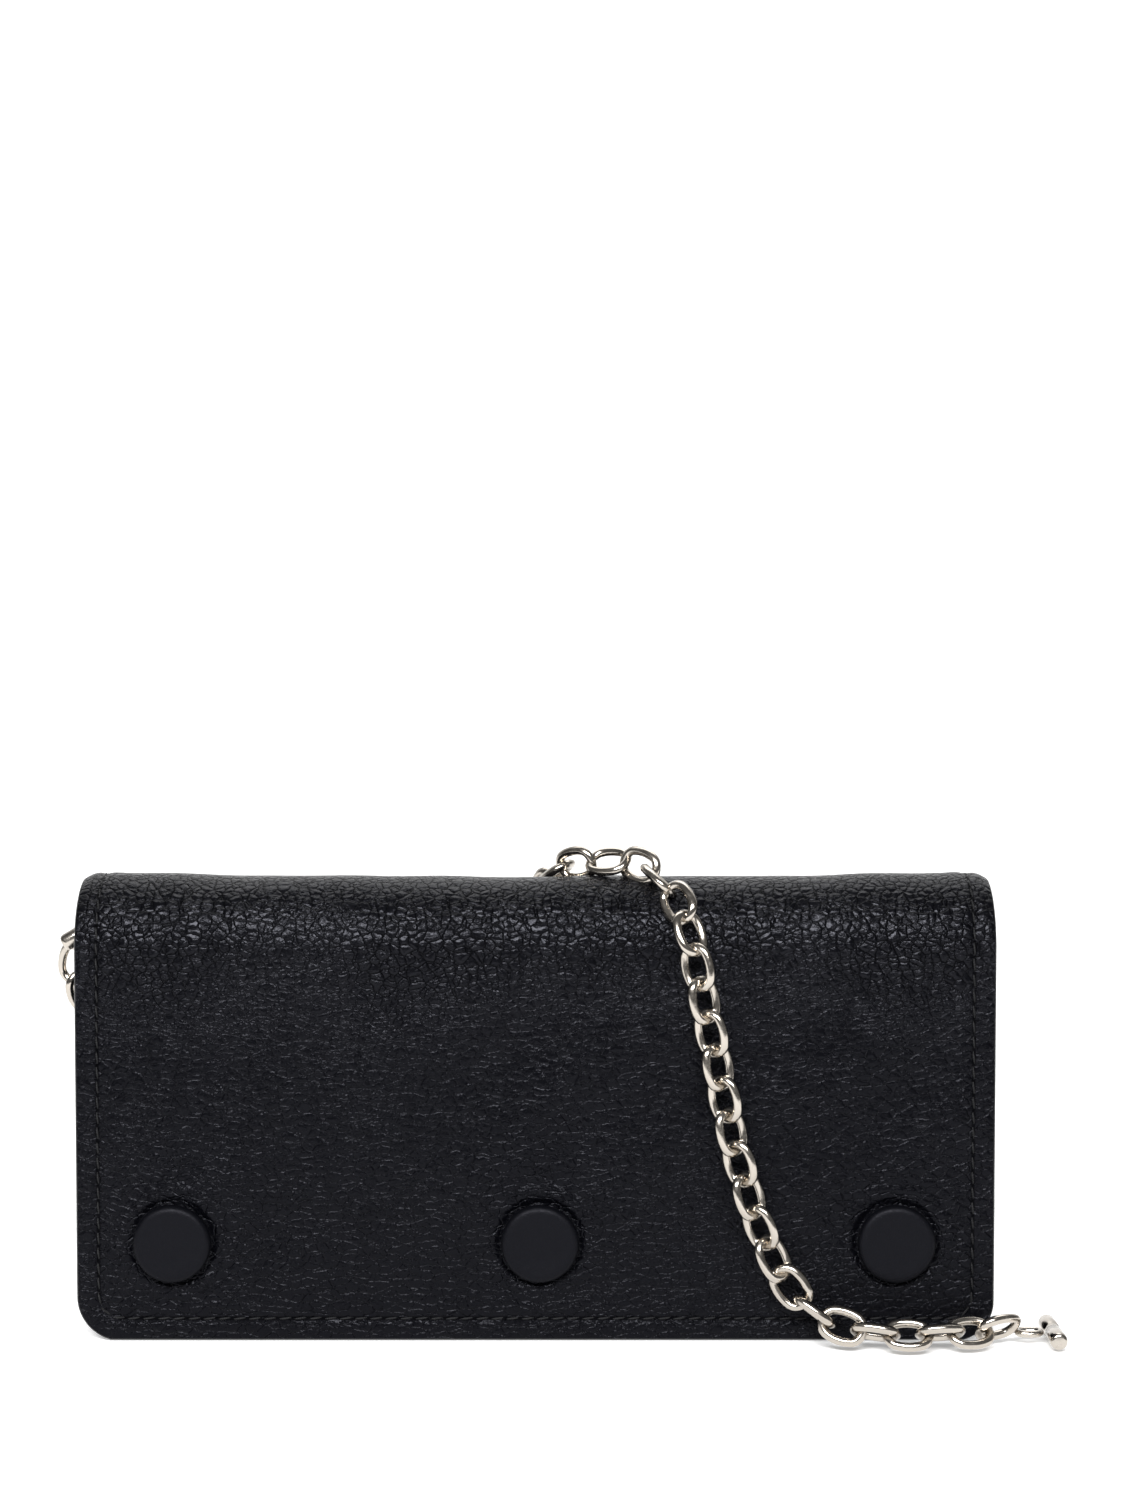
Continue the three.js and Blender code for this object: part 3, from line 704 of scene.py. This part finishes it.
# columns in a -1..1 to 1 sheet coordinate; the outer 14 mm follow the rounded corners
COLS = np.concatenate(
    [
        spaced(-99.6, 99.6, 1.25, [(-96, 6, 0.5), (96, 6, 0.5)] + [(sx, 13.5, 0.62) for sx in SNAP_X]),
    ]
)


def sheet_piece(name, s0, s1, rim0, rim1, mats, thickness=LEATHER, step=1.25, extra=()):
    """Thick strip of the outer sheet between two distances, with a rounded painted edge."""
    dense = [
        (5.0, 6.0, 0.5), (TOTAL - 5.0, 6.0, 0.5),
        (TOTAL - SNAP_Z, 13.5, 0.62),
        (FOLD_Z + ARC / 2, ARC / 2 + 4, 0.55),
        (Q_BACK, 0.7, 0.16), (Q_FRONT, 0.7, 0.16),
    ]
    rows = spaced(s0 + (0.35 if rim0 else 0), s1 - (0.35 if rim1 else 0), step, dense)
    n, m = len(rows), len(COLS)
    X = np.zeros((n, m))
    lw, rw = half_width(rows)
    for i in range(n):
        c = COLS.copy()
        # squeeze the outer 16 mm of the row into the rounded outline
        for side, hw in ((-1, lw[i]), (1, rw[i])):
            sel = side * c > 84
            c[sel] = side * (84 + (side * c[sel] - 84) * (hw - 0.35 - 84) / (99.6 - 84))
        X[i] = c
    S = np.repeat(rows[:, None], m, axis=1)
    h = relief(X, S)
    y, z, ny, nz = on_profile(S)
    # the long fold sinks a little between its ends
    lift = smoothstep(FOLD_Z - 18, FOLD_Z + ARC * 0.3, S) * smoothstep(
        TOTAL - FOLD_Z + 18, TOTAL - FOLD_Z - ARC * 0.3, S
    )
    sag = lift * (0.1 + 1.0 * (np.abs(X) / 100) ** 2.5 - 1.5 * np.clip((np.abs(X) - 94.5) / 5.5, 0, 1) ** 2.5)
    outer = np.stack([X, y + ny * h, z + nz * h + sag], -1)
    inner = np.stack([X, y - ny * thickness, z - nz * thickness + sag], -1)
    verts = list(outer.reshape(-1, 3)) + list(inner.reshape(-1, 3))
    faces, kinds = [], []

    def idx(i, j, layer):
        return layer * n * m + i * m + j

    for i in range(n - 1):
        for j in range(m - 1):
            faces.append((idx(i, j, 0), idx(i, j + 1, 0), idx(i + 1, j + 1, 0), idx(i + 1, j, 0)))
            kinds.append(0)
            faces.append((idx(i, j, 1), idx(i + 1, j, 1), idx(i + 1, j + 1, 1), idx(i, j + 1, 1)))
            kinds.append(1)
    # boundary loop with the direction out of the sheet's edge
    loop = []
    left = [(i, 0) for i in range(n)]
    right = [(i, m - 1) for i in range(n)]
    if rim0:
        order = left[::-1] + [(0, j) for j in range(1, m)] + right[1:]
        closed = False
        if rim1:
            order += [(n - 1, j) for j in range(m - 2, 0, -1)]
            closed = True
    elif rim1:
        order = left + [(n - 1, j) for j in range(1, m)] + right[::-1][1:]
        closed = False
    else:
        order = None
        closed = False
    chains = [order] if order is not None else [left, right]
    for ch in chains:
        rings = [[], [], []]
        for i, j in ch:
            s = rows[i]
            xx = X[i, j]
            front = s > TOTAL / 2
            d = TOTAL - s if front else s
            r = float(corner(np.array(front), np.array(xx)))
            sx = -1 if xx < 0 else 1
            ax = 100 - abs(xx)
            ds = 1.0 if front else -1.0  # direction of growing s is towards the foot on the flap
            if ax < r and d < r:
                vx, vd = (r - ax), (r - d)
                ln = math.hypot(vx, vd) or 1.0
                ox, os_ = sx * vx / ln, ds * vd / ln
            elif d < ax:
                ox, os_ = 0.0, ds
            else:
                ox, os_ = sx, 0.0
            oy, oz, on_y, on_z = (float(q) for q in on_profile(np.array(s)))
            # tangent of the profile: turn the normal a quarter
            ty, tz = -on_z, on_y
            sg = float(sag[i, j])
            for ring, (out, deep) in zip(rings, ((0.22, 0.16), (0.38, thickness / 2), (0.22, thickness - 0.16))):
                ring.append(
                    (
                        xx + ox * out,
                        oy + ty * os_ * out - on_y * deep,
                        oz + tz * os_ * out - on_z * deep + sg,
                    )
                )
        base = len(verts)
        cnt = len(ch)
        for ring in rings:
            verts.extend(ring)
        strips = [
            [idx(i, j, 0) for i, j in ch],
            [base + q for q in range(cnt)],
            [base + cnt + q for q in range(cnt)],
            [base + 2 * cnt + q for q in range(cnt)],
            [idx(i, j, 1) for i, j in ch],
        ]
        for a, b in zip(strips, strips[1:]):
            rng_q = range(cnt if closed else cnt - 1)
            for q in rng_q:
                q2 = (q + 1) % cnt
                faces.append((a[q], a[q2], b[q2], b[q]))
                kinds.append(2)
    ob = new_object(name, [np.array(v) * MM for v in verts], faces)
    bm = bmesh.new()
    bm.from_mesh(ob.data)
    bmesh.ops.recalc_face_normals(bm, faces=bm.faces)
    bm.to_mesh(ob.data)
    bm.free()
    paint(ob, *mats)
    ob.data.polygons.foreach_set("material_index", kinds)
    ob.data.update()
    return ob


leather_mats = (M_PEBBLE, M_SMOOTH, M_EDGE)
back_leather = sheet_piece("back_leather", 0.0, Q_BACK, True, False, leather_mats)
fold_leather = sheet_piece("fold_leather", Q_BACK, Q_FRONT, False, False, leather_mats)
flap_leather = sheet_piece("flap_leather", Q_FRONT, TOTAL, False, True, leather_mats)
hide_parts("back_panel")
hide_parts("fold_leather_back", "fold_leather_front")
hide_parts("flap_panel")


# ------------------------------------------------------------------ stitching
def sheet_point(x, s, up=0.0):
    xa, sa = np.array([float(x)]), np.array([float(s)])
    h = relief(xa, sa)[0] + up
    y, z, ny, nz = (float(q[0]) for q in on_profile(sa))
    lift = float(
        (
            smoothstep(FOLD_Z - 18, FOLD_Z + ARC * 0.3, sa)
            * smoothstep(TOTAL - FOLD_Z + 18, TOTAL - FOLD_Z - ARC * 0.3, sa)
        )[0]
    )
    sag = lift * (0.1 + 1.0 * (abs(x) / 100) ** 2.5 - 1.5 * min(1.0, max(0.0, (abs(x) - 94.5) / 5.5)) ** 2.5)
    return Vector((x, y + ny * h, z + nz * h + sag)), Vector((0, ny, nz))


def stitch(a, b, normal, r=0.26, bow=0.22):
    """A short thread that dips into the leather at both ends."""
    verts, faces = [], []
    ax = (b - a).normalized()
    side = normal.cross(ax).normalized()
    n, ring = 7, 6
    for i in range(n):
        f = i / (n - 1)
        c = a.lerp(b, f) + normal * (bow * math.sin(math.pi * f) - 0.16)
        rr = r * (0.72 + 0.28 * math.sin(math.pi * f))
        for j in range(ring):
            t = 2 * math.pi * j / ring
            verts.append((c + side * (rr * math.cos(t)) + normal * (rr * math.sin(t))) * MM)
    for i in range(n - 1):
        for j in range(ring):
            k = (j + 1) % ring
            faces.append((i * ring + j, i * ring + k, (i + 1) * ring + k, (i + 1) * ring + j))
    faces.append(tuple(range(ring))[::-1])
    faces.append(tuple((n - 1) * ring + j for j in range(ring)))
    return verts, faces


def seam(name, path, pitch=3.3, slant=0.16):
    """Stitches along a list of (x, s) points."""
    p = np.array(path, float)
    d = np.concatenate([[0], np.cumsum(np.linalg.norm(np.diff(p, axis=0), axis=1))])
    count = int(round(d[-1] / pitch))
    verts, faces = [], []
    for i in range(count):
        q0 = d[-1] * (i + 0.10) / count
        q1 = d[-1] * (i + 0.90) / count
        x0, s0 = np.interp(q0, d, p[:, 0]), np.interp(q0, d, p[:, 1])
        x1, s1 = np.interp(q1, d, p[:, 0]), np.interp(q1, d, p[:, 1])
        dx, dsv = x1 - x0, s1 - s0
        ln = math.hypot(dx, dsv) or 1
        ox, os_ = -dsv / ln * slant, dx / ln * slant
        a, na = sheet_point(x0 + ox, s0 + os_)
        b, nb = sheet_point(x1 - ox, s1 - os_)
        v, f = stitch(a, b, (na + nb).normalized())
        k = len(verts)
        verts += v
        faces += [tuple(w + k for w in q) for q in f]
    ob = new_object(name, verts, faces)
    paint(ob, M_THREAD)
    return ob


def u_path(front):
    """Seam round the foot of one side, from the fold down, across and up again: (x, s)."""
    x = 95.2
    pts = []
    if front:
        r = 4.6
        s_of = lambda d: TOTAL - d
    else:
        r = 4.6
        s_of = lambda d: d
    top = TOTAL / 2 - 0.001
    d_top = TOTAL - Q_FRONT
    pts.append((-x, s_of(d_top)))
    pts.append((-x, s_of(4.8 + r)))
    for i in range(1, 6):
        a = math.pi / 2 * i / 6
        pts.append((-x + r - r * math.cos(a), s_of(4.8 + r - r * math.sin(a))))
    pts.append((-x + r, s_of(4.8)))
    pts.append((x - r, s_of(4.8)))
    for i in range(1, 6):
        a = math.pi / 2 * i / 6
        pts.append((x - r + r * math.sin(a), s_of(4.8 + r - r * math.cos(a))))
    pts.append((x, s_of(4.8 + r)))
    pts.append((x, s_of(d_top)))
    return pts


seam_flap = seam("flap_stitching", u_path(True))
seam_back = seam("back_stitching", u_path(False))
seam_fold_l = seam("fold_stitching_left", [(-95.2, Q_BACK), (-95.2, Q_FRONT)])
seam_fold_r = seam("fold_stitching_right", [(95.2, Q_BACK), (95.2, Q_FRONT)])

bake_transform(back_leather)
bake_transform(fold_leather)
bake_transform(flap_leather)
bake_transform(seam_back)
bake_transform(seam_fold_l)
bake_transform(seam_fold_r)
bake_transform(seam_flap)


# ------------------------------------------------------------------ lining of the fold and flap
def lining_piece(name, s0, s1, half, offset=1.75, thickness=0.45, foot=None):
    rows = spaced(s0, s1, 2.0, [(FOLD_Z + ARC / 2, ARC / 2 + 4, 0.9), (Q_BACK, 0.7, 0.2), (Q_FRONT, 0.7, 0.2)])
    cols = spaced(-half, half, 2.5, [(-half, 5, 0.8), (half, 5, 0.8)])
    n, m = len(rows), len(cols)
    verts = []
    for layer, off in ((0, offset), (1, offset + thickness)):
        for s in rows:
            y, z, ny, nz = (float(q) for q in on_profile(np.array(s)))
            lift = float(
                smoothstep(FOLD_Z - 18, FOLD_Z + ARC * 0.3, np.array(s))
                * smoothstep(TOTAL - FOLD_Z + 18, TOTAL - FOLD_Z - ARC * 0.3, np.array(s))
            )
            for x in cols:
                xx = x
                if foot is not None:
                    d = TOTAL - s
                    q = max(0.0, foot - (d - 2.0))
                    lim = half - (foot - math.sqrt(max(foot * foot - q * q, 0)))
                    xx = x * lim / half if abs(x) > 0 else x
                sg = lift * (0.1 + 1.0 * (abs(xx) / 100) ** 2.5)
                verts.append((xx * MM, (y - ny * off) * MM, (z - nz * off + sg) * MM))
    faces = []
    g = lambda i, j, l: l * n * m + i * m + j
    for i in range(n - 1):
        for j in range(m - 1):
            faces.append((g(i, j, 0), g(i, j + 1, 0), g(i + 1, j + 1, 0), g(i + 1, j, 0)))
            faces.append((g(i, j, 1), g(i + 1, j, 1), g(i + 1, j + 1, 1), g(i, j + 1, 1)))
    for i in range(n - 1):
        for j in (0, m - 1):
            faces.append((g(i, j, 0), g(i + 1, j, 0), g(i + 1, j, 1), g(i, j, 1)))
    for i in (0, n - 1):
        for j in range(m - 1):
            faces.append((g(i, j, 0), g(i, j + 1, 0), g(i, j + 1, 1), g(i, j, 1)))
    ob = new_object(name, verts, faces, smooth=True)
    bm = bmesh.new()
    bm.from_mesh(ob.data)
    bmesh.ops.recalc_face_normals(bm, faces=bm.faces)
    bm.to_mesh(ob.data)
    bm.free()
    paint(ob, M_LINING)
    return ob


lining_b = lining_piece("fold_lining_rear", FOLD_Z - 0.4, Q_BACK, 96.0)
lining_m = lining_piece("fold_lining_crest", Q_BACK, Q_FRONT, 96.0)
lining_f = lining_piece("flap_lining_cloth", Q_FRONT, TOTAL - 2.0, 97.0, foot=7.0)
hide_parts("fold_lining_back", "fold_lining_front")
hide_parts("flap_lining")
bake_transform(lining_b)
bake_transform(lining_m)
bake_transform(lining_f)


# ------------------------------------------------------------------ covered snap caps
def lathe(name, profile_pts, centre, segments=64, wobble=0.0):
    """Turned about a line parallel to y. profile_pts are (radius, y)."""
    verts, faces = [], []
    n = len(profile_pts)
    for i in range(segments):
        a = 2 * math.pi * i / segments
        for r, y in profile_pts:
            rr = r * (1 + wobble * math.sin(a * 3 + 1.0) * (r / 8.5))
            verts.append(
                ((centre[0] + rr * math.cos(a)) * MM, y * MM, (centre[1] + rr * math.sin(a)) * MM)
            )
    for i in range(segments):
        k = (i + 1) % segments
        for j in range(n - 1):
            faces.append((i * n + j, k * n + j, k * n + j + 1, i * n + j + 1))
    ob = new_object(name, verts, faces)
    bm = bmesh.new()
    bm.from_mesh(ob.data)
    bmesh.ops.remove_doubles(bm, verts=bm.verts, dist=1e-7)
    bmesh.ops.recalc_face_normals(bm, faces=bm.faces)
    bm.to_mesh(ob.data)
    bm.free()
    ob.data.polygons.foreach_set("use_smooth", [True] * len(ob.data.polygons))
    return ob


CAP = [
    (0.0, -17.75), (1.5, -17.76), (3.0, -17.79), (4.4, -17.85), (5.4, -17.93), (6.2, -18.0),
    (6.8, -18.04), (7.3, -18.0), (7.75, -17.86), (8.1, -17.6), (8.35, -17.2), (8.48, -16.7),
    (8.5, -16.1), (8.4, -15.5), (8.1, -14.95), (7.5, -14.6), (0.0, -14.5),
]
for i, nm in enumerate(("left", "centre", "right")):
    cap = lathe(f"snap_cap_{nm}_leather", CAP, (SNAP_X[i], SNAP_Z), 72, 0.006)
    paint(cap, M_SMOOTH)
    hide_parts(f"snap_cap_{nm}")
    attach(cap, "flap")


# ------------------------------------------------------------------ gussets
def gusset(name, side):
    line = [(95.3, -7.2), (94.6, -5.6), (91.6, -2.6), (88.4, 0.6), (86.6, 1.9), (86.3, 2.5),
            (86.6, 3.1), (88.4, 4.4), (91.6, 7.6), (94.6, 10.6), (95.3, 12.2)]
    path = catmull([(a, b, 0) for a, b in line], 5)
    zs = spaced(1.7, 80.0, 2.0)
    verts, faces = [], []
    n, m = len(zs), len(path)
    t = 0.35
    tang = np.gradient(path[:, :2], axis=0)
    tang /= np.linalg.norm(tang, axis=1)[:, None]
    for layer in (-1, 1):
        for zi in zs:
            soft = 0.35 * math.sin(zi * 0.11) + 0.2 * math.sin(zi * 0.31 + 1)
            for k, (q, tg) in enumerate(zip(path, tang)):
                mid = math.sin(math.pi * k / (m - 1))
                xx = q[0] + layer * t * tg[1] + soft * mid * 0.6
                yy = q[1] - layer * t * tg[0]
                verts.append((side * xx * MM, yy * MM, zi * MM))
    g = lambda i, j, l: l * n * m + i * m + j
    for i in range(n - 1):
        for j in range(m - 1):
            faces.append((g(i, j, 0), g(i, j + 1, 0), g(i + 1, j + 1, 0), g(i + 1, j, 0)))
            faces.append((g(i, j, 1), g(i + 1, j, 1), g(i + 1, j + 1, 1), g(i, j + 1, 1)))
    for i in (0, n - 1):
        for j in range(m - 1):
            faces.append((g(i, j, 0), g(i, j + 1, 0), g(i, j + 1, 1), g(i, j, 1)))
    for j in (0, m - 1):
        for i in range(n - 1):
            faces.append((g(i, j, 0), g(i + 1, j, 0), g(i + 1, j, 1), g(i, j, 1)))
    ob = new_object(name, verts, faces)
    bm = bmesh.new()
    bm.from_mesh(ob.data)
    bmesh.ops.recalc_face_normals(bm, faces=bm.faces)
    bm.to_mesh(ob.data)
    bm.free()
    paint(ob, M_SMOOTH)
    return ob


for nm, side in (("left", -1), ("right", 1)):
    gs = gusset(f"gusset_{nm}_leather", side)
    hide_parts(f"gusset_{nm}")
    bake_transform(gs)


# ------------------------------------------------------------------ the side loops, tie and toggles keep their shapes; round toggle links
def replace_link(name, node, centre, tangent, side, length, width, body):
    v, f = torus_link(Vector(centre) * MM, tangent, side, length, width, 1.5, seg=32, ring=12)
    ob = new_object(name, v, f)
    paint(ob, M_METAL)
    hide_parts(node)
    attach(ob, body)
    return ob


replace_link("toggle_ring_left", "toggle_link_left", (-98, 3.6, 88.2), (0, 1, 0), (0, 0, 1), 8.6, 4.6, "toggle_left")
replace_link("toggle_ring_right", "toggle_link_right", (107.3, -17.0, 2.3), (1, 0, 0), (0, 1, 0), 6.4, 4.6, "toggle_right")

def toggle_bar(name, node, centre, direction, half, radius, body):
    """Round bar with flat ends and a softened rim."""
    d = Vector(direction).normalized()
    u = d.cross(Vector((0, 0, 1))).normalized()
    w = d.cross(u)
    prof = [(0.0, -half), (radius * 0.62, -half), (radius * 0.80, -half + 0.12), (radius * 0.93, -half + 0.42),
            (radius, -half + 0.95), (radius, -1.6), (radius * 0.90, -1.2), (radius * 0.90, 1.2), (radius, 1.6),
            (radius, half - 0.95), (radius * 0.93, half - 0.42), (radius * 0.80, half - 0.12), (radius * 0.62, half), (0.0, half)]
    seg = 40
    verts, faces = [], []
    for i in range(seg):
        a = 2 * math.pi * i / seg
        for r, q in prof:
            verts.append((Vector(centre) + d * q + (u * math.cos(a) + w * math.sin(a)) * r) * MM)
    n = len(prof)
    for i in range(seg):
        k = (i + 1) % seg
        for j in range(n - 1):
            faces.append((i * n + j, k * n + j, k * n + j + 1, i * n + j + 1))
    ob = new_object(name, verts, faces)
    bm = bmesh.new()
    bm.from_mesh(ob.data)
    bmesh.ops.remove_doubles(bm, verts=bm.verts, dist=1e-7)
    bmesh.ops.recalc_face_normals(bm, faces=bm.faces)
    bm.to_mesh(ob.data)
    bm.free()
    ob.data.polygons.foreach_set("use_smooth", [True] * len(ob.data.polygons))
    paint(ob, M_METAL)
    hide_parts(node)
    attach(ob, body)
    return ob


toggle_bar("toggle_bar_left_round", "toggle_bar_left", (-97.9, -3.1, 89.2), (-0.862, -0.02, -0.507), 7.4, 1.9, "toggle_left")
toggle_bar("toggle_bar_right_round", "toggle_bar_right", (112.6, -16.4, 2.2), (0, 1, 0), 8.6, 1.9, "toggle_right")

# ------------------------------------------------------------------ finishes of the carried-over nodes
FINISH = {
    "pebbled_leather": M_PEBBLE,
    "smooth_leather": M_SMOOTH,
    "lining": M_LINING,
    "zip_tape": M_TAPE,
    "nickel": M_METAL,
    "chain_envelope": M_CHAIN,
}
slots = {p["node"]: p["material_slot"] for p in frame["record"]["subparts"]}
for node, ob in frame["nodes"].items():
    if slots.get(node) in FINISH:
        mt = FINISH[slots[node]]
        for sl in ob.material_slots:
            sl.material = mt
        if not ob.material_slots:
            ob.data.materials.append(mt)

# ------------------------------------------------------------------ stage: pale floor and soft light
def cyclorama():
    verts, faces = [], []
    prof = [(-0.36, 0.0), (1.6, 0.0)]
    for i in range(1, 17):
        a = math.pi / 2 * i / 16
        prof.append((1.6 + 1.2 * math.sin(a), 1.2 - 1.2 * math.cos(a)))
    prof.append((2.8, 5.0))
    for x in (-5.0, 5.0):
        for y, z in prof:
            verts.append((x, y, z - 0.0002))
    n = len(prof)
    for i in range(n - 1):
        faces.append((i, n + i, n + i + 1, i + 1))
    ob = new_object("floor", verts, faces)
    k = Nodes("floor_pale")
    k.set("Base Color", k.mix(k.noise(k.coord.outputs["Object"], 3.0, 2.0), (0.86, 0.86, 0.86), (0.89, 0.89, 0.89)))
    k.bsdf.inputs["Roughness"].default_value = 0.9
    k.bsdf.inputs["Specular IOR Level"].default_value = 0.1
    k.bsdf.inputs["Emission Color"].default_value = (1.0, 1.0, 1.0, 1.0)
    k.bsdf.inputs["Emission Strength"].default_value = 0.28
    paint(ob, k.m)
    return ob


cyclorama()


def area(name, loc, target, size, power, colour=(1, 1, 1), size_y=None):
    d = bpy.data.lights.new(name, "AREA")
    d.shape = "RECTANGLE"
    d.size = size
    d.size_y = size_y or size
    d.energy = power
    d.color = colour
    o = bpy.data.objects.new(name, d)
    scene.collection.objects.link(o)
    o.location = loc
    o.rotation_euler = (Vector(target) - Vector(loc)).to_track_quat("-Z", "Y").to_euler()
    return o


area("key", (-0.1, -1.06, 0.83), (0, 0, 0.07), 1.1, 35, size_y=0.30)
area("floor_light", (0.0, 1.1, 1.8), (0, 1.0, 0.0), 1.6, 10)
area("backdrop_light", (0.0, 1.2, 2.2), (0, 2.6, 0.9), 2.4, 35)

world = bpy.data.worlds.new("world")
scene.world = world
world.use_nodes = True
bg = world.node_tree.nodes["Background"]
bg.inputs[0].default_value = (1, 1, 1, 1)
bg.inputs[1].default_value = 0.14
